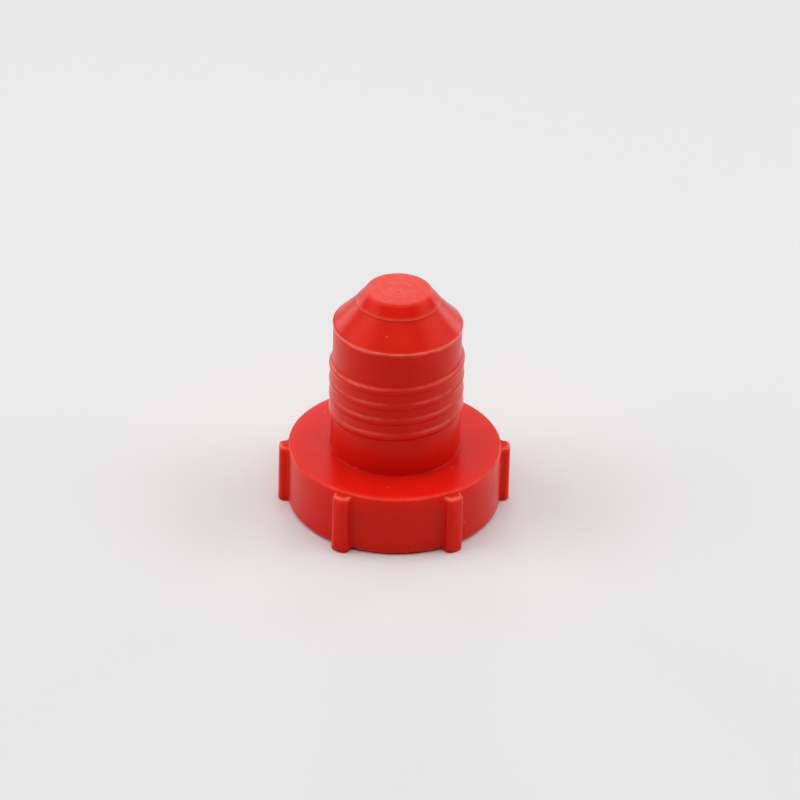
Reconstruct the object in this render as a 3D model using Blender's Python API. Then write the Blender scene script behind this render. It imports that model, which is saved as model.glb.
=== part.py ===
"""Threaded protective plug: one injection-moulded piece.

A round hub with six grip lugs carries a hollow barrel.  The barrel has a
right-hand M12 x 1.5 moulded thread of four shallow rounded turns, a plain
lead above it and a two-step conical nose with a flat tip.  The moulding is
cored out from the underside, so that its walls are even.

Frame: metres, +Z is the plug's axis, the hub's underside lies on z = 0 and
the origin is on the axis.  One lug lies on +X.
"""

import math

import bmesh
import bpy

MM = 0.001

# ---- hub -----------------------------------------------------------------
HUB_D = 18.92 * MM             # round body of the hub, at the underside
HUB_TOP_D = 18.82 * MM         # the same at the stop face, with draft
HUB_H = 5.73 * MM              # underside to the flat stop face
HUB_TOP_R = 0.22 * MM          # rounding of the stop face's outer edge
HUB_BOTTOM_R = 0.50 * MM       # rounding of the underside's outer edge

# ---- grip lugs -----------------------------------------------------------
LUG_COUNT = 6
LUG_TIP_D = 20.54 * MM         # diameter over the lugs
LUG_W = 1.58 * MM
LUG_CORNER_R = 0.48 * MM       # rounding of the upright outer edges
LUG_CROWN_R = 0.32 * MM        # rounding of the upper end
LUG_FOOT_R = 0.12 * MM         # rounding of the lower end
LUG_TOP_DROP = 0.20 * MM       # lug end below the stop face
LUG_BOTTOM_LIFT = 0.02 * MM    # lug end above the underside
LUG_ROOT_R = 8.70 * MM         # inner end of a lug, inside the hub wall

# ---- barrel and thread ---------------------------------------------------
NECK_D = 11.44 * MM            # plain barrel at the stop face
LEAD_D = 11.14 * MM            # plain barrel at the shoulder, with draft
NECK_FILLET = 0.10 * MM
PITCH = 1.50 * MM
THREAD_CREST_D = 11.80 * MM    # M12, moulded under size
THREAD_ROOT_D = 11.62 * MM     # between two turns
THREAD_TURNS = 4
THREAD_FRONT_Z = 14.19 * MM    # height of the top turn on the -Y side
CREST_W = 0.28 * MM            # width of a ridge's crest
FLANK_W = 0.26 * MM            # width of one flank, along the axis
RUN_OUT = 0.12                 # faded thread at each end, in turns
LEAD_START_Z = THREAD_FRONT_Z + 1.1 * PITCH

# ---- nose ----------------------------------------------------------------
SHOULDER_Z = 17.95 * MM        # where the lead meets the lower cone
BREAK_D = 7.20 * MM            # lower cone meets upper cone
BREAK_Z = 20.08 * MM
TIP_D = 5.52 * MM              # flat tip
TIP_Z = 21.21 * MM
SHOULDER_R = 0.06 * MM         # rounding of the shoulder

# ---- coring from the underside -------------------------------------------
SKIRT_BORE_D = 15.6 * MM       # wide recess inside the hub
SKIRT_DEPTH = 4.2 * MM
BORE_MOUTH_D = 8.4 * MM        # bore up the barrel, at the recess
BORE_END_D = 8.0 * MM          # the same bore at the nose, with draft
BORE_END_Z = 17.2 * MM
CORE_TIP_D = 4.4 * MM          # flat end of the coring inside the nose
CORE_TIP_Z = 19.6 * MM

# ---- facets --------------------------------------------------------------
AROUND = 60                    # facets round the axis, a multiple of four

COLOUR = (0.72, 0.016, 0.006, 1.0)


def clear_scene():
    for obj in list(bpy.data.objects):
        bpy.data.objects.remove(obj, do_unlink=True)


def arc(cx, cz, radius, start, end, steps):
    """Points of an arc in the (radius, height) plane, angles in degrees."""
    points = []
    for i in range(steps + 1):
        a = math.radians(start + (end - start) * i / steps)
        points.append((cx + radius * math.cos(a), cz + radius * math.sin(a)))
    return points


def smooth(t):
    t = min(max(t, 0.0), 1.0)
    return t * t * (3.0 - 2.0 * t)


def barrel_radius(z):
    """Radius of the plain barrel, which narrows upward by its draft."""
    rise = (z - HUB_H) / (SHOULDER_Z - HUB_H)
    return (NECK_D + (LEAD_D - NECK_D) * rise) / 2.0


def thread_rows():
    """Rows of points along the thread, lowest first, as (ridge, distance from
    the ridge's middle, share of the ridge's height).  Ridge 0 is the top turn.
    Each turn has its root's middle, two flank feet, two crest edges and the
    crest's middle."""
    foot = CREST_W / 2.0 + FLANK_W
    one_turn = [
        (-PITCH / 2.0, 0.0),
        (-foot, 0.0),
        (-CREST_W / 2.0, 0.88),
        (0.0, 1.0),
        (CREST_W / 2.0, 0.88),
        (foot, 0.0),
    ]
    rows = []
    for ridge in range(1 - THREAD_TURNS, 1):
        rows += [(ridge, offset, share) for offset, share in one_turn]
    rows.append((0, PITCH / 2.0, 0.0))
    return rows


def row_height(row):
    """Height of a row on the -Y side."""
    ridge, offset, _ = row
    return THREAD_FRONT_Z + ridge * PITCH + offset


def present(ridge, turn):
    """How much of a ridge there is at a place round the axis: the thread
    fades out at both of its ends, on the +Y side."""
    along = ridge + turn
    low = along + THREAD_TURNS - 0.5 - 1.0 / AROUND
    high = 0.5 - 1.0 / AROUND - along
    return smooth(low / RUN_OUT) * smooth(high / RUN_OUT)


def thread_radius(row, turn):
    """Radius of the thread at a row.  Between two ridges the surface stays
    at the root, outside them it drops to the plain barrel."""
    ridge, offset, share = row
    plain = barrel_radius(row_height(row) + turn * PITCH)
    beside = ridge - 1 if offset < 0.0 else ridge + 1
    between = present(ridge, turn) * present(beside, turn)
    level = plain + (THREAD_ROOT_D / 2.0 - plain) * between
    return level + (THREAD_CREST_D / 2.0 - level) * share * present(ridge, turn)


def turned_profile():
    """Outline from the core's end on the axis, down the inside, round the
    hub and up the outside to the tip on the axis, as (radius, height)."""
    hub_r = HUB_D / 2.0
    top_r = HUB_TOP_D / 2.0
    neck_r = NECK_D / 2.0
    lead_r = LEAD_D / 2.0
    inside = [
        (0.0, CORE_TIP_Z),
        (CORE_TIP_D / 2.0, CORE_TIP_Z),
        (BORE_END_D / 2.0, BORE_END_Z),
        (BORE_MOUTH_D / 2.0, SKIRT_DEPTH),
        (SKIRT_BORE_D / 2.0 - 0.3 * MM, SKIRT_DEPTH),
        (SKIRT_BORE_D / 2.0, SKIRT_DEPTH - 0.3 * MM),
        (SKIRT_BORE_D / 2.0 + 0.1 * MM, 0.0),
    ]
    hub = arc(hub_r - HUB_BOTTOM_R, HUB_BOTTOM_R, HUB_BOTTOM_R, -90, 0, 4)
    hub += arc(top_r - HUB_TOP_R, HUB_H - HUB_TOP_R, HUB_TOP_R, 0, 90, 3)
    neck = arc(neck_r + NECK_FILLET, HUB_H + NECK_FILLET, NECK_FILLET, -90, -180, 2)

    heights = [row_height(row) for row in thread_rows()]
    thread = [(barrel_radius(z), z) for z in heights]

    slope = math.atan2(lead_r - BREAK_D / 2.0, BREAK_Z - SHOULDER_Z)
    cut = SHOULDER_R * math.tan(slope / 2.0)
    nose = [(barrel_radius(LEAD_START_Z), LEAD_START_Z)]
    centre_z = SHOULDER_Z - cut
    nose += arc(lead_r - SHOULDER_R, centre_z, SHOULDER_R, 0.0,
                math.degrees(slope), 2)
    nose += [(BREAK_D / 2.0, BREAK_Z), (TIP_D / 2.0, TIP_Z), (0.0, TIP_Z)]
    return inside + hub + neck + thread + nose


def wind_thread(bm):
    """Turn the barrel's level rows into a right-hand helix.  Every row is
    sheared up by one pitch per turn, from half a pitch low to half a pitch
    high, and on the +Y side, where its two ends miss each other by a pitch,
    the facets are made again so that each row runs on into the next turn."""
    rows = thread_rows()
    per_turn = (len(rows) - 1) // THREAD_TURNS
    step = 2.0 * math.pi / AROUND
    column_a = AROUND // 4
    column_b = column_a + 1
    grid = {}
    for vert in bm.verts:
        radius = math.hypot(vert.co.x, vert.co.y)
        if abs(radius - barrel_radius(vert.co.z)) > 0.001 * MM:
            continue
        for index, row in enumerate(rows):
            if abs(vert.co.z - row_height(row)) < 0.001 * MM:
                column = round(math.atan2(vert.co.y, vert.co.x) / step) % AROUND
                grid[column, index] = vert
    for (column, index), vert in grid.items():
        # 0 on the -Y side, positive towards +X, and up to a half at +Y
        turn = ((column + column_a) % AROUND) / AROUND
        if turn > 0.5:
            turn -= 1.0
        radius = thread_radius(rows[index], turn)
        grown = radius / math.hypot(vert.co.x, vert.co.y)
        vert.co.x *= grown
        vert.co.y *= grown
        vert.co.z += turn * PITCH

    last = len(rows) - 1
    a = [grid[column_a, row] for row in range(last + 1)]
    b = [grid[column_b, row] for row in range(last + 1)]
    above = {}
    below = {}
    for side, column in (("a", a), ("b", b)):
        for edge in column[0].link_edges:
            other = edge.other_vert(column[0])
            if other.co.z < HUB_H + 1.1 * NECK_FILLET:
                below[side] = other
        for edge in column[last].link_edges:
            other = edge.other_vert(column[last])
            if abs(other.co.z - LEAD_START_Z) < 0.001 * MM:
                above[side] = other
    seam = set(a) | set(b) | set(above.values()) | set(below.values())
    old = [face for face in bm.faces if all(vert in seam for vert in face.verts)]
    bmesh.ops.delete(bm, geom=old, context="FACES_ONLY")
    bm.faces.new([below["a"], below["b"]] + b[: per_turn + 1] + [a[0]])
    for row in range(last - per_turn):
        bm.faces.new([a[row], b[row + per_turn], b[row + per_turn + 1], a[row + 1]])
    bm.faces.new(a[last - per_turn :][::-1] + [b[last], above["b"], above["a"]])
    loose = [edge for edge in bm.edges if not edge.link_faces]
    bmesh.ops.delete(bm, geom=loose, context="EDGES")


def turned_body():
    """The moulding without its lugs: the outline spun round the axis, with
    the thread wound on its barrel."""
    bm = bmesh.new()
    outline = [bm.verts.new((r, 0.0, z)) for r, z in turned_profile()]
    edges = [bm.edges.new(pair) for pair in zip(outline, outline[1:])]
    bmesh.ops.spin(
        bm,
        geom=outline + edges,
        cent=(0.0, 0.0, 0.0),
        axis=(0.0, 0.0, 1.0),
        angle=2.0 * math.pi,
        steps=AROUND,
        use_merge=True,
        use_duplicate=False,
    )
    bmesh.ops.remove_doubles(bm, verts=bm.verts, dist=0.000001)
    wind_thread(bm)
    bmesh.ops.recalc_face_normals(bm, faces=bm.faces)
    mesh = bpy.data.meshes.new("threaded_plug")
    bm.to_mesh(mesh)
    bm.free()
    return mesh


def lug_blank(name):
    """One lug lying along +X: a plan outline with rounded outer corners,
    extruded up and with its two ends bevelled."""
    bm = bmesh.new()
    tip = LUG_TIP_D / 2.0
    half = LUG_W / 2.0
    low = LUG_BOTTOM_LIFT
    high = HUB_H - LUG_TOP_DROP
    plan = [(LUG_ROOT_R, -half)]
    plan += arc(tip - LUG_CORNER_R, -half + LUG_CORNER_R, LUG_CORNER_R, -90, 0, 4)
    plan += arc(tip - LUG_CORNER_R, half - LUG_CORNER_R, LUG_CORNER_R, 0, 90, 4)
    plan += [(LUG_ROOT_R, half)]
    base = bm.faces.new([bm.verts.new((x, y, low)) for x, y in plan])
    made = bmesh.ops.extrude_face_region(bm, geom=[base])
    top = [item for item in made["geom"] if isinstance(item, bmesh.types.BMVert)]
    bmesh.ops.translate(bm, verts=top, vec=(0.0, 0.0, high - low))
    for height, radius, segments in ((low, LUG_FOOT_R, 2), (high, LUG_CROWN_R, 3)):
        end = [
            edge
            for edge in bm.edges
            if all(abs(v.co.z - height) < 1e-7 for v in edge.verts)
            and max(v.co.x for v in edge.verts) > LUG_ROOT_R + 1e-6
        ]
        bmesh.ops.bevel(
            bm, geom=end, offset=radius, segments=segments, profile=0.5,
            affect="EDGES", clamp_overlap=True,
        )
    bmesh.ops.recalc_face_normals(bm, faces=bm.faces)
    mesh = bpy.data.meshes.new(name)
    bm.to_mesh(mesh)
    bm.free()
    return mesh


def plastic():
    material = bpy.data.materials.new("red_polyethylene")
    material.use_nodes = True
    shader = material.node_tree.nodes["Principled BSDF"]
    shader.inputs["Base Color"].default_value = COLOUR
    shader.inputs["Roughness"].default_value = 0.42
    shader.inputs["Metallic"].default_value = 0.0
    material.diffuse_color = COLOUR
    return material


def build():
    clear_scene()
    collection = bpy.context.scene.collection
    material = plastic()

    plug = bpy.data.objects.new("threaded_plug", turned_body())
    collection.objects.link(plug)
    plug.data.materials.append(material)
    plug.data.shade_smooth()
    plug.data.set_sharp_from_angle(angle=math.radians(32.0))

    lug_mesh = lug_blank("grip_lug")
    lug_mesh.materials.append(material)
    for i in range(LUG_COUNT):
        lug = bpy.data.objects.new(f"lug_blank_{i + 1}", lug_mesh)
        collection.objects.link(lug)
        lug.rotation_euler = (0.0, 0.0, 2.0 * math.pi * i / LUG_COUNT)
        lug.parent = plug
        lug.hide_render = True
        lug.display_type = "WIRE"
        union = plug.modifiers.new(f"lug_{i + 1}", "BOOLEAN")
        union.operation = "UNION"
        union.solver = "EXACT"
        union.object = lug


build()
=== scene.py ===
"""Looks of the threaded protective plug: one red polyethylene moulding.

The fine mesh follows the frame's solid: hub with six grip lugs, neck, four
shallow right-hand thread turns, plain lead, conical nose and cored underside.
"""
import math

import bpy
import numpy as np
from mathutils import Matrix, Vector


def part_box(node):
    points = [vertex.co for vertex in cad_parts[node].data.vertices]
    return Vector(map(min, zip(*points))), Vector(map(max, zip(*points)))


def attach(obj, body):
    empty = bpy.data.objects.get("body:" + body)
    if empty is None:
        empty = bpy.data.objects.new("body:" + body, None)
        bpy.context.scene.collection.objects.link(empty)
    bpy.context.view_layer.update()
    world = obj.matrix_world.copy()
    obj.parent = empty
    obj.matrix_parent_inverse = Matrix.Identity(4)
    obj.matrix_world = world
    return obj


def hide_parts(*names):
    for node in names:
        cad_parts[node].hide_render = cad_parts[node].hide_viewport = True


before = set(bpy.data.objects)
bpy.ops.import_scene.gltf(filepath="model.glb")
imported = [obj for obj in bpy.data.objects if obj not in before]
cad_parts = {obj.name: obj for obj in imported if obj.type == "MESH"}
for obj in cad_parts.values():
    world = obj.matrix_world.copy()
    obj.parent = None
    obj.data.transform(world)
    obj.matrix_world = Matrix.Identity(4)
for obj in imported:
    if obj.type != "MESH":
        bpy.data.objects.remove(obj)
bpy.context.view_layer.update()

NODE_LOW, NODE_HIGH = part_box("threaded_plug")

MM = 0.001

# ---------------------------------------------------------------- sizes, mm
HUB_R, HUB_H, HUB_DRAFT = 9.435, 5.73, 0.05
HUB_TOP_R, HUB_BOTTOM_R = 0.22, 0.50
LUG_TIP_R, LUG_W = 10.27, 1.58
LUG_CORNER, LUG_FILLET = 0.48, 0.30
LUG_CROWN, LUG_FOOT, LUG_DROP = 0.32, 0.12, 0.20
NECK_R, LEAD_R = 5.72, 5.57
NECK_FILLET = 0.10
PITCH, TURNS, FRONT_Z = 1.50, 4, 14.27
CREST_R, ROOT_DEPTH, SIDE_DEPTH = 5.90, 0.15, 0.07
CREST_W, FLANK_W, RUN_OUT = 0.24, 0.24, 0.12
SHOULDER_Z = 17.95
BREAK_R, BREAK_Z = 3.60, 20.08
TIP_R, TIP_Z, TIP_ROUND = 2.76, 21.21, 0.08
SKIRT_R, SKIRT_DEPTH = 7.80, 4.20
BORE_R, BORE_END_R, BORE_END_Z = 4.20, 4.00, 17.20
CORE_TIP_R, CORE_TIP_Z = 2.20, 19.60


def smooth(t):
    t = np.clip(t, 0.0, 1.0)
    return t * t * (3.0 - 2.0 * t)


def wobble(angle, seeds):
    """A slow irregular curve round the axis, from about -1 to 1, that closes
    on itself; seeds are (cycles, phase, weight)."""
    total = sum(w for _, _, w in seeds)
    return sum(w * np.sin(n * angle + p) for n, p, w in seeds) / total


def bump(angle, centre, width):
    """A soft hump round the axis; centre and width in degrees."""
    off = (np.degrees(angle) - centre + 180.0) % 360.0 - 180.0
    return np.exp(-(off / width) ** 2)


def barrel(z):
    """Radius of the plain barrel, which narrows upward by its draft."""
    return NECK_R + (LEAD_R - NECK_R) * (np.asarray(z, float) - HUB_H) / (SHOULDER_Z - HUB_H)


# ------------------------------------------------------- columns round Z
def sector():
    """Half a sector of the hub's plan, from a lug's middle to half way to the
    next: (angle of the column, x, y, outward normal x, y), lug along +X."""
    half = LUG_W / 2.0
    corner_x, corner_y = LUG_TIP_R - LUG_CORNER, half - LUG_CORNER
    points = []
    for i in range(3):
        y = corner_y * i / 3.0
        points.append((LUG_TIP_R - 0.02 * (y / corner_y) ** 2, y, 1.0, 0.05 * i))
    for i in range(7):
        a = math.radians(90.0 * i / 6.0)
        points.append((corner_x - 0.02 + LUG_CORNER * math.cos(a),
                       corner_y + LUG_CORNER * math.sin(a), math.cos(a), math.sin(a)))
    centre_y = half + LUG_FILLET
    centre_x = math.sqrt((HUB_R + LUG_FILLET) ** 2 - centre_y ** 2)
    end = math.atan2(centre_y, centre_x)
    # the fillet runs from the lug's flat side round to the hub's circle
    for i in range(6):
        a = math.radians(270.0) + (end - math.radians(90.0)) * i / 5.0
        points.append((centre_x + LUG_FILLET * math.cos(a),
                       centre_y + LUG_FILLET * math.sin(a), -math.cos(a), -math.sin(a)))
    n = len(points) - 1
    columns = [(end * i / n, *point) for i, point in enumerate(points)]
    steps = 13
    for i in range(1, steps + 1):
        a = end + (math.pi / 6.0 - end) * i / steps
        columns.append((a, HUB_R * math.cos(a), HUB_R * math.sin(a),
                        math.cos(a), math.sin(a)))
    return columns


def plan_columns():
    """All columns, starting just past +Y and ending on it, so that the
    thread's seam is on the far side."""
    half = sector()
    whole = [(-a, x, -y, nx, -ny) for a, x, y, nx, ny in half[1:-1]][::-1] + half
    angles, points, normals = [], [], []
    for k in range(6):
        turn = math.radians(120.0 + 60.0 * k)
        c, s = math.cos(turn), math.sin(turn)
        for a, x, y, nx, ny in whole:
            angles.append(a + turn)
            points.append((c * x - s * y, s * x + c * y))
            normals.append((c * nx - s * ny, s * nx + c * ny))
    return np.array(angles), np.array(points), np.array(normals)


ANGLE, PLAN, PLAN_N = plan_columns()
PLAN_N /= np.linalg.norm(PLAN_N, axis=1)[:, None]
COLUMNS = len(ANGLE)
OUT = np.stack([np.cos(ANGLE), np.sin(ANGLE)], 1)
PROUD = np.linalg.norm(PLAN, axis=1) - HUB_R
LUG = smooth(PROUD / 0.14)[:, None]

rings = []        # each an array of (x, y, z) per column
wear_and_highlight_marks = []   # each an array of how pale a point is: paler thin flash and rubbed edges, and painted highlights on ridges, rims and the end face


def add(points, mark=0.0):
    rings.append(np.asarray(points, float))
    wear_and_highlight_marks.append(np.broadcast_to(np.asarray(mark, float), (COLUMNS,)).copy())


def add_round(radius, z, mark=0.0):
    radius = np.broadcast_to(radius, (COLUMNS,))
    z = np.broadcast_to(z, (COLUMNS,))
    add(np.column_stack([OUT * radius[:, None], z]), mark)


def arc(cr, cz, radius, start, end, steps):
    for i in range(steps + 1):
        a = math.radians(start + (end - start) * i / steps)
        yield cr + radius * math.cos(a), cz + radius * math.sin(a)


# ------------------------------------------------ inside, from the core down
for r in (0.5, 1.2, 1.8):
    add_round(r, CORE_TIP_Z)
for r, z in arc(CORE_TIP_R - 0.25, CORE_TIP_Z - 0.25, 0.25, 90, 38, 3):
    add_round(r, z)
for t in (0.35, 0.7):
    add_round(CORE_TIP_R + (BORE_END_R - CORE_TIP_R) * t,
              CORE_TIP_Z - 0.1 + (BORE_END_Z - CORE_TIP_Z + 0.2) * t)
for t in (0.0, 0.5, 1.0):
    add_round(BORE_END_R - 0.12 * (1 - t) ** 2, BORE_END_Z + 0.12 - 0.36 * t)
for z in (15.5, 13.5, 11.5, 9.5, 7.5, 6.0, 5.0):
    add_round(BORE_R + (BORE_END_R - BORE_R) * (z - SKIRT_DEPTH) /
              (BORE_END_Z - SKIRT_DEPTH), z)
for r, z in arc(BORE_R + 0.25, SKIRT_DEPTH + 0.25, 0.25, 180, 270, 4):
    add_round(r, z)
for r in (4.9, 5.6, 6.3, 7.0):
    add_round(r, SKIRT_DEPTH)
for r, z in arc(SKIRT_R - 0.35, SKIRT_DEPTH - 0.35, 0.35, 90, 0, 5):
    add_round(r, z)
for z in (3.0, 2.2, 1.4, 0.7, 0.3):
    add_round(SKIRT_R + 0.1 * (SKIRT_DEPTH - z) / SKIRT_DEPTH, z)
for r, z in arc(SKIRT_R + 0.1 + 0.12, 0.12, 0.12, 180, 270, 3):
    add_round(r, z, 0.3)
for r in (8.3, 8.65):
    add_round(r, 0.0)


# ------------------------------------------------ hub's outside with lugs
def hub_radius(z):
    return HUB_R - HUB_DRAFT * (z / HUB_H - 0.5)


def hub_ring(radius, z, lug_points, lug_z, mark=0.0):
    """A ring of the hub: the plain round section, blended into the lug's."""
    plain = np.column_stack([OUT * radius, np.full(COLUMNS, z)])
    lug = np.column_stack([lug_points, np.full(COLUMNS, lug_z)])
    add(plain * (1.0 - LUG) + lug * LUG, mark)


def inset(depth, z):
    """The lugs' outline at a height, moved in by a depth and by the draft."""
    return PLAN - PLAN_N * (depth + 1.3 * HUB_DRAFT * (z / HUB_H - 0.5))


low_r = hub_radius(0.0)
under = list(arc(low_r - HUB_BOTTOM_R, HUB_BOTTOM_R, HUB_BOTTOM_R, -90, 0, 8))
hub_edge = OUT * (low_r - HUB_BOTTOM_R)
lug_in = inset(LUG_FOOT, 0.0)
for i, t in enumerate((0.0, 0.3, 0.6, 0.85, 1.0)):
    hub_ring(*under[i], hub_edge * (1.0 - t) + lug_in * t, 0.0)
for i in range(1, 5):
    a = math.radians(90.0 * i / 4.0)
    z = LUG_FOOT * (1.0 - math.cos(a))
    hub_ring(*under[4 + i], inset(LUG_FOOT * (1 - math.sin(a)), z), z)
for z in (0.6, 0.9, 1.4, 2.0, 2.6, 3.2, 3.8, 4.3, 4.7, 5.0):
    hub_ring(hub_radius(z), z, inset(0.0, z), z)
LUG_TOP = HUB_H - LUG_DROP
top_r = hub_radius(HUB_H)
# the lugs' rounded crowns carry a painted highlight
for i in range(0, 6):
    a = math.radians(90.0 * i / 5.0)
    z = LUG_TOP - LUG_CROWN * (1.0 - math.sin(a)) - 0.03 * math.sin(a)
    plain_z = 5.12 + 0.05 * i
    hub_ring(hub_radius(plain_z), plain_z, inset(LUG_CROWN * (1 - math.cos(a)), z), z,
             LUG[:, 0] * (0.75 if 2 <= i <= 4 else 0.15))
lug_out = inset(LUG_CROWN, LUG_TOP)
hub_in = OUT * (top_r - 0.001)
for t in (0.3, 0.65, 0.9, 1.0):
    hub_ring(top_r, 5.40 + 0.11 * t, lug_out * (1 - t) + hub_in * t,
             LUG_TOP - 0.03 * (1 - t) + 0.01 * (t > 0.8))
# the hub's rounded top rim carries a painted highlight
for r, z in arc(top_r - HUB_TOP_R, HUB_H - HUB_TOP_R, HUB_TOP_R, 12, 90, 7):
    add_round(r, z, 0.28 if z < HUB_H - 0.005 else 0.1)
for r in (8.8, 8.2, 7.6, 7.0, 6.5, 6.1):
    add_round(r, HUB_H)
for r, z in arc(NECK_R + NECK_FILLET, HUB_H + NECK_FILLET, NECK_FILLET, -90, -180, 4):
    add_round(r, z)
for z in (6.0, 6.5, 7.0, 7.5, 7.9):
    add_round(barrel(z), z)

# ------------------------------------------------ thread, wound as a helix
OFFSETS = (-0.5, -0.43, -0.36, -0.325, -0.30, -0.26, -0.245, -0.21, -0.17, -0.13,
           -0.10, -0.082, -0.065, -0.035, 0.0, 0.035, 0.065, 0.082, 0.10, 0.13,
           0.17, 0.21, 0.245, 0.26, 0.30, 0.325, 0.36, 0.43)
PER_TURN = len(OFFSETS)
TURN = ((ANGLE + math.pi / 2.0) / (2.0 * math.pi)) % 1.0
TURN = np.where(TURN > 0.5 + 1e-6, TURN - 1.0, TURN)
GAP = 1.0 / 120.0


# shallower at +X and -X, where the two halves of the mould met
ROOT_R = CREST_R - SIDE_DEPTH - (ROOT_DEPTH - SIDE_DEPTH) * smooth(1.6 * np.abs(OUT[:, 1]))


def present(ridge):
    """How much of the ridge of this turn there is at each column: the two
    ends of the thread fade out on the far side."""
    along = ridge + TURN
    return (smooth((along + TURNS - 0.5 - GAP) / RUN_OUT) *
            smooth((0.5 - GAP - along) / RUN_OUT))


def thread_radius(turn, offset):
    """Radius of the thread at a row: between two ridges the surface stays at
    the root, outside them it drops to the plain barrel."""
    z = FRONT_Z + (turn + offset + TURN) * PITCH
    plain = barrel(z)
    below, above = (turn - 1, turn) if offset < 0.0 else (turn, turn + 1)
    both = present(below) * present(above)
    level = plain + (ROOT_R - plain) * both
    width = FLANK_W + 0.10 * (1.0 - both)
    reach = abs(offset) * PITCH
    rise = np.clip((CREST_W / 2.0 + width - reach) / width, 0.0, 1.0)
    flank = 0.8 * rise + 0.2 * smooth(rise)
    crown = 0.014 * min(1.0, reach / (CREST_W / 2.0)) ** 2
    ripple = 0.006 * wobble(ANGLE, ((7, turn * 1.7, 1.0), (12, turn * 2.9, 0.7),
                                    (23, turn * 4.1, 0.5)))
    crest = CREST_R - crown + ripple
    return level + (crest - level) * flank * present(turn), z


# the ridges' upper flanks carry a painted highlight, strongest towards +X and -X, where the side lamps' glint falls
RIDGE_PAINTED_HIGHLIGHT = 0.25 + 0.60 * smooth((np.abs(OUT[:, 0]) - 0.10) / 0.35)
thread_first = len(rings)
for turn in range(1 - TURNS, 1):
    for offset in OFFSETS:
        radius, z = thread_radius(turn, offset)
        add_round(radius, z, RIDGE_PAINTED_HIGHLIGHT * max(0.0, 1.0 - abs(offset - 0.17) / 0.10))
radius, z = thread_radius(0, 0.5)
add_round(radius, z)
thread_last = len(rings) - 1

# ------------------------------------------------ lead, flash lip and nose
for z in (16.0, 16.4, 16.8, 17.2, 17.5):
    add_round(barrel(z), z)
thick = (1.0 + 0.9 * bump(ANGLE, 232.0, 17.0) + 0.9 * bump(ANGLE, 318.0, 15.0) +
         0.35 * wobble(ANGLE, ((5, 0.4, 1.0), (9, 2.1, 1.0), (17, 4.0, 0.8))))
lip = 0.065 + 0.014 * wobble(ANGLE, ((7, 1.4, 1.0), (13, 2.1, 1.0), (29, 0.7, 1.0)))
lip += 0.045 * bump(ANGLE, 292.8, 2.4)
drop = 0.150 * thick + 0.05 * bump(ANGLE, 292.8, 2.6)
# the flash lip's pale band is partly the flash's own paler colour and partly a painted highlight on its upper face
for dr, dz, mark in ((0.0, -1.10, 0.2), (0.35, -0.80, 0.6), (0.8, -0.42, 1.0), (1.0, 0.0, 1.0),
                     (0.8, 0.35, 1.0), (0.25, 0.55, 0.8), (-0.2, 0.62, 0.2)):
    add_round(LEAD_R + lip * dr, SHOULDER_Z - 0.055 + min(dz, 0.0) * drop + 0.09 * max(dz, 0.0), mark)
foot_r, foot_z = LEAD_R - 0.045, SHOULDER_Z + 0.015
add_round(foot_r, foot_z)
for t in (0.06, 0.15, 0.3, 0.45, 0.6, 0.75, 0.88, 0.96):
    add_round(foot_r + (BREAK_R - 0.03 - foot_r) * t, foot_z + (BREAK_Z - 0.04 - foot_z) * t)
witness = 0.018 + 0.008 * wobble(ANGLE, ((6, 1.0, 1.0), (11, 0.3, 1.0)))
# the witness step at the break carries a painted highlight line
for dr, dz in ((-0.03, -0.04), (0.02, -0.035), (0.035, 0.0), (0.01, 0.035)):
    add_round(BREAK_R + dr + witness * (dr > 0), BREAK_Z + dz, 0.45 if dr > 0 else 0.0)
slope = math.atan2(BREAK_R - TIP_R, TIP_Z - BREAK_Z)
for t in (0.15, 0.35, 0.55, 0.75):
    add_round(BREAK_R + (TIP_R - BREAK_R) * t, BREAK_Z + (TIP_Z - BREAK_Z) * t)
cut = TIP_ROUND * math.tan((math.pi / 2 - slope) / 2.0)
# the rounded rim round the end face carries a painted highlight
for r, z in arc(TIP_R - cut, TIP_Z - TIP_ROUND, TIP_ROUND, math.degrees(slope), 90, 5):
    add_round(r, z, 0.35)
# the end face: two shallow cutter rings, a slight dish and the gate's stub, which stands a little off the axis; the
# whole face carries a painted highlight, paler still on the stub
GATE_X, GATE_Y, GATE_R, GATE_H = 0.04, -0.50, 0.10, 0.11
for r, dz in ((2.35, 0.0), (2.05, 0.0), (1.80, 0.0), (1.72, 0.004), (1.62, 0.005), (1.54, 0.0),
              (1.25, -0.003), (1.08, -0.003), (1.02, 0.002), (0.93, 0.002), (0.86, -0.003),
              (0.76, -0.004), (0.70, -0.005), (0.66, -0.005), (0.62, -0.005), (0.58, -0.005),
              (0.54, -0.005), (0.50, -0.005), (0.46, -0.005), (0.42, -0.005), (0.38, -0.005),
              (0.34, -0.005), (0.28, -0.005), (0.18, -0.005), (0.08, -0.005)):
    gate = np.exp(-((OUT[:, 0] * r - GATE_X) ** 2 + (OUT[:, 1] * r - GATE_Y) ** 2) / GATE_R ** 2)
    add_round(r, TIP_Z + dz + GATE_H * gate, 0.28 + 0.72 * gate)
RING_COUNT = len(rings)


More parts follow.
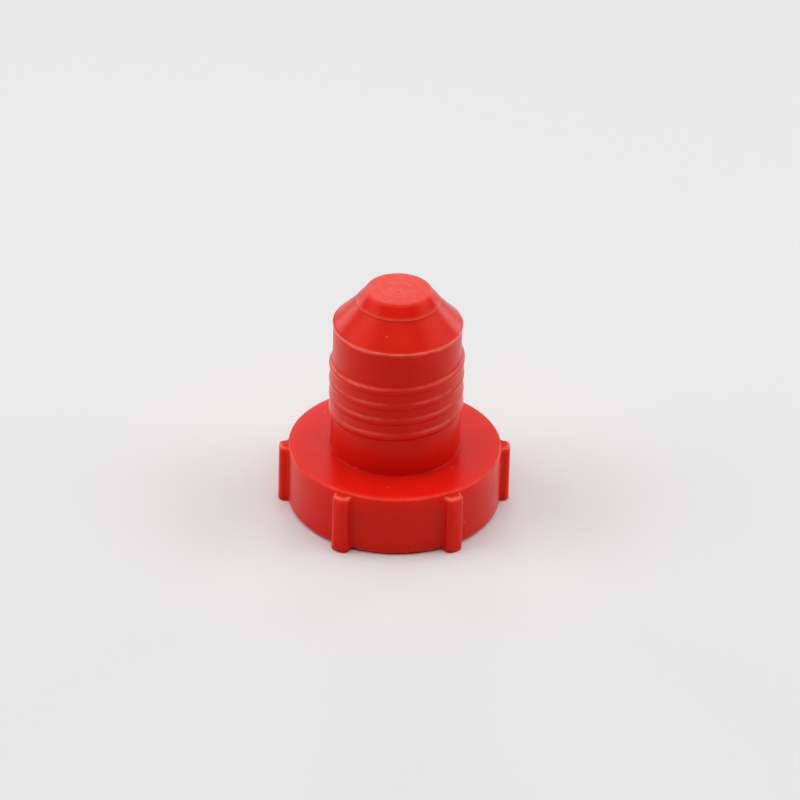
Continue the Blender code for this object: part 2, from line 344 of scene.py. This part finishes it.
# ------------------------------------------------ faces
def plug_mesh():
    n = COLUMNS
    points = np.concatenate(rings) * MM
    faces = []
    for ring in range(RING_COUNT - 1):
        low, high = ring * n, (ring + 1) * n
        for c in range(n - 1):
            faces.append((low + c, low + c + 1, high + c + 1, high + c))
        if not thread_first - 1 <= ring <= thread_last:
            faces.append((low + n - 1, low, high, high + n - 1))
    # on the far side every row of the thread runs on into the next turn
    side_a = [ring * n + n - 1 for ring in range(thread_first, thread_last + 1)]
    side_b = [ring * n for ring in range(thread_first, thread_last + 1)]
    for a, a_next, b, b_next in zip(side_a, side_a[1:], side_b[PER_TURN:], side_b[PER_TURN + 1:]):
        faces.append((a, b, b_next, a_next))
    # what is left at the two ends of the thread is plain barrel
    below, above = (thread_first - 1) * n, (thread_last + 1) * n
    faces.append((below + n - 1, below, *side_b[: PER_TURN + 1], side_a[0]))
    faces.append((side_a[-1 - PER_TURN], side_b[-1], above, above + n - 1,
                  *side_a[-PER_TURN:][::-1]))
    core = len(points)
    tip = core + 1
    points = np.vstack([points, [(0, 0, CORE_TIP_Z * MM)], [(0, 0, points[-1][2])]])
    last = (RING_COUNT - 1) * n
    for c in range(n):
        d = (c + 1) % n
        faces.append((core, d, c))
        faces.append((tip, last + c, last + d))
    mesh = bpy.data.meshes.new("threaded_plug_moulding")
    mesh.from_pydata([tuple(p) for p in points], [], faces)
    marks = np.concatenate(wear_and_highlight_marks + [np.zeros(2)])
    layer = mesh.attributes.new("edge", "FLOAT", "POINT")
    layer.data.foreach_set("value", marks.astype(np.float32))
    if mesh.validate(verbose=True):
        raise RuntimeError("the moulding's mesh had faults")
    mesh.update()
    mesh.shade_smooth()
    return mesh


mesh = plug_mesh()
plug = bpy.data.objects.new("threaded_plug_moulding", mesh)
bpy.context.scene.collection.objects.link(plug)


# ------------------------------------------------ material
DEEP_RED = (0.75, 0.0085, 0.0036, 1.0)
MEAN_RED = (0.79, 0.0100, 0.0044, 1.0)
PALE_RED = (0.83, 0.0125, 0.0058, 1.0)
# pale red of thin flash and rubbed edges, also used as painted highlight
WEAR_AND_HIGHLIGHT_RED = (0.96, 0.220, 0.145, 1.0)
SPECK_RED = (0.90, 0.220, 0.160, 1.0)
# where the larger grains are, in mm, and their radius
SPECKS = (((-1.14, -4.42, 19.03), 0.11), ((-1.48, -5.60, 13.08), 0.10),
          ((-3.57, -4.46, 5.86), 0.10), ((4.90, -4.25, 5.73), 0.12),
          ((5.91, -7.35, 2.04), 0.11), ((-0.79, -7.46, 5.73), 0.10),
          ((2.9, 4.8, 11.4), 0.10), ((-6.1, 4.9, 5.73), 0.11), ((3.3, 8.8, 3.1), 0.10))


def red_polyethylene():
    material = bpy.data.materials.new("red_polyethylene_moulded")
    material.use_nodes = True
    nodes, links = material.node_tree.nodes, material.node_tree.links
    shader = nodes["Principled BSDF"]

    def node(kind, **values):
        made = nodes.new(kind)
        for key, value in values.items():
            setattr(made, key, value)
        return made

    def noise(scale, detail=2.0, rough=0.5):
        made = node("ShaderNodeTexNoise")
        made.inputs["Scale"].default_value = scale
        made.inputs["Detail"].default_value = detail
        made.inputs["Roughness"].default_value = rough
        links.new(place.outputs["Object"], made.inputs["Vector"])
        return made

    def ramp(source, low, high, start, end):
        made = node("ShaderNodeMapRange")
        made.inputs["From Min"].default_value = start
        made.inputs["From Max"].default_value = end
        made.inputs["To Min"].default_value = low
        made.inputs["To Max"].default_value = high
        links.new(source, made.inputs["Value"])
        return made.outputs["Result"]

    def mix(factor, a, b, blend="MIX"):
        made = node("ShaderNodeMix", data_type="RGBA", blend_type=blend)
        if hasattr(factor, "is_output"):
            links.new(factor, made.inputs["Factor"])
        else:
            made.inputs["Factor"].default_value = factor
        for socket, value in ((6, a), (7, b)):
            if hasattr(value, "is_output"):
                links.new(value, made.inputs[socket])
            else:
                made.inputs[socket].default_value = value
        return made.outputs[2]

    place = node("ShaderNodeTexCoord")
    cloud = noise(380.0, 3.0)       # slow change of pigment, about 2.5 mm
    mottle = noise(2600.0, 4.0)     # grain of the pigment, about 0.4 mm
    body = mix(ramp(cloud.outputs["Fac"], 0.0, 1.0, 0.35, 0.65), DEEP_RED, MEAN_RED)
    body = mix(ramp(mottle.outputs["Fac"], 0.0, 0.30, 0.45, 0.70), body, PALE_RED)
    # edges and flash, where the moulding is thin or rubbed, are paler; the same pale colour also paints highlights on
    # the ridges, flash lip, break, tip, lug crowns and hub rim
    edge = node("ShaderNodeAttribute", attribute_name="edge")
    wear_and_highlight = node("ShaderNodeMath", operation="MULTIPLY")
    links.new(edge.outputs["Fac"], wear_and_highlight.inputs[0])
    links.new(ramp(noise(1500.0, 3.0).outputs["Fac"], 0.55, 1.0, 0.35, 0.65), wear_and_highlight.inputs[1])
    body = mix(wear_and_highlight.outputs["Value"], body, WEAR_AND_HIGHLIGHT_RED)
    # a few grains of unmixed material
    nearest = None
    for spot, size in SPECKS:
        away = node("ShaderNodeVectorMath", operation="DISTANCE")
        links.new(place.outputs["Object"], away.inputs[0])
        away.inputs[1].default_value = [c * MM for c in spot]
        scaled = node("ShaderNodeMath", operation="DIVIDE")
        links.new(away.outputs["Value"], scaled.inputs[0])
        scaled.inputs[1].default_value = size * MM
        if nearest is None:
            nearest = scaled.outputs["Value"]
        else:
            least = node("ShaderNodeMath", operation="MINIMUM")
            links.new(nearest, least.inputs[0])
            links.new(scaled.outputs["Value"], least.inputs[1])
            nearest = least.outputs["Value"]
    body = mix(ramp(nearest, 0.75, 0.0, 0.4, 1.0), body, SPECK_RED)
    links.new(body, shader.inputs["Base Color"])

    links.new(ramp(noise(1900.0, 3.0).outputs["Fac"], 0.285, 0.36, 0.3, 0.7),
              shader.inputs["Roughness"])
    shader.inputs["IOR"].default_value = 1.51
    shader.inputs["Specular IOR Level"].default_value = 0.40
    shader.inputs["Specular Tint"].default_value = (1.0, 0.30, 0.17, 1.0)
    shader.inputs["Metallic"].default_value = 0.0
    shader.inputs["Subsurface Weight"].default_value = 0.85
    shader.inputs["Subsurface Radius"].default_value = (1.0, 0.10, 0.06)
    shader.inputs["Subsurface Scale"].default_value = 0.0021

    grain = node("ShaderNodeBump")
    grain.inputs["Strength"].default_value = 0.05
    grain.inputs["Distance"].default_value = 0.00004
    links.new(noise(5200.0, 3.0, 0.6).outputs["Fac"], grain.inputs["Height"])
    swell = node("ShaderNodeBump")
    swell.inputs["Strength"].default_value = 0.06
    swell.inputs["Distance"].default_value = 0.00012
    links.new(noise(700.0, 2.0).outputs["Fac"], swell.inputs["Height"])
    links.new(grain.outputs["Normal"], swell.inputs["Normal"])
    links.new(swell.outputs["Normal"], shader.inputs["Normal"])
    return material


plug.data.materials.append(red_polyethylene())
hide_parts("threaded_plug")
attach(plug, "root")

# ------------------------------------------------ stage
floor_mesh = bpy.data.meshes.new("studio_floor")
floor_mesh.from_pydata([(-1.2, -1.2, 0), (1.2, -1.2, 0), (1.2, 1.2, 0), (-1.2, 1.2, 0)], [], [(0, 1, 2, 3)])
floor = bpy.data.objects.new("studio_floor", floor_mesh)
floor.location.z = -0.00003
bpy.context.scene.collection.objects.link(floor)
pale = bpy.data.materials.new("pale_floor")
pale.use_nodes = True
pale.node_tree.nodes["Principled BSDF"].inputs["Base Color"].default_value = (0.77, 0.77, 0.77, 1.0)
pale.node_tree.nodes["Principled BSDF"].inputs["Roughness"].default_value = 0.8
pale.node_tree.nodes["Principled BSDF"].inputs["Specular IOR Level"].default_value = 0.1
floor_mesh.materials.append(pale)

world = bpy.data.worlds.new("studio")
bpy.context.scene.world = world
world.use_nodes = True
world.node_tree.nodes["Background"].inputs["Color"].default_value = (1.0, 1.0, 1.0, 1.0)
world.node_tree.nodes["Background"].inputs["Strength"].default_value = 0.0


AIM = Vector((0.0, 0.0, 0.010))


def softbox(name, round_from_front, above, power, size=0.16, reach=0.42):
    """A round softbox that looks at the plug: degrees round from the camera's
    side towards the right, degrees above the floor, and watts."""
    light = bpy.data.lights.new(name, "AREA")
    light.shape = "DISK"
    light.size = size
    light.energy = power
    a, e = math.radians(round_from_front), math.radians(above)
    away = Vector((math.sin(a) * math.cos(e), -math.cos(a) * math.cos(e), math.sin(e)))
    holder = bpy.data.objects.new(name, light)
    holder.location = AIM + away * reach
    holder.rotation_euler = away.to_track_quat("Z", "Y").to_euler()
    bpy.context.scene.collection.objects.link(holder)


SOFTBOXES = (
    ("back", 180, 32, 0.18, 0.025), ("back_low", 180, 12, 0.16, 0.24),
    ("back_top", 180, 76, 0.28, 0.46), ("left", 270, 43, 0.34, 0.76),
    ("left_low", 284, 17, 0.14, 0.05), ("right", 91, 41, 0.34, 0.66),
    ("right_low", 76, 17, 0.14, 0.04), ("back_left", 225, 12, 0.16, 0.20),
    ("back_right", 135, 14, 0.16, 0.22), ("front_high", 0, 70, 0.44, 0.66),
)
for name, round_from_front, above, size, power in SOFTBOXES:
    softbox(name, round_from_front, above, power, size)

# ------------------------------------------------ camera
ELEVATION, TURNED, ROLL = math.radians(31.18), math.radians(-90.0 - 2.6), math.radians(1.47)
DISTANCE = 3000 * 0.0875 * MM
target = Vector((0.0, 0.0, 10.98 * MM))
toward = Vector((math.cos(ELEVATION) * math.cos(TURNED), math.cos(ELEVATION) * math.sin(TURNED), math.sin(ELEVATION)))
right = Vector((-math.sin(TURNED), math.cos(TURNED), 0.0))
up = toward.cross(right)
lens_right = right * math.cos(ROLL) + up * math.sin(ROLL)
lens_up = up * math.cos(ROLL) - right * math.sin(ROLL)
camera_data = bpy.data.cameras.new("camera")
camera_data.sensor_width = 36.0
camera_data.lens = 135.0
camera_data.shift_x = (400.0 - 396.17) / 800.0
camera_data.shift_y = -(400.0 - 390.68) / 800.0
camera_data.clip_start = 0.01
camera_data.clip_end = 10.0
camera = bpy.data.objects.new("camera", camera_data)
spot = target + toward * DISTANCE
camera.matrix_world = Matrix((
    (lens_right.x, lens_up.x, toward.x, spot.x),
    (lens_right.y, lens_up.y, toward.y, spot.y),
    (lens_right.z, lens_up.z, toward.z, spot.z),
    (0.0, 0.0, 0.0, 1.0)))
bpy.context.scene.collection.objects.link(camera)
bpy.context.scene.camera = camera
bpy.context.scene.view_settings.view_transform = "Standard"
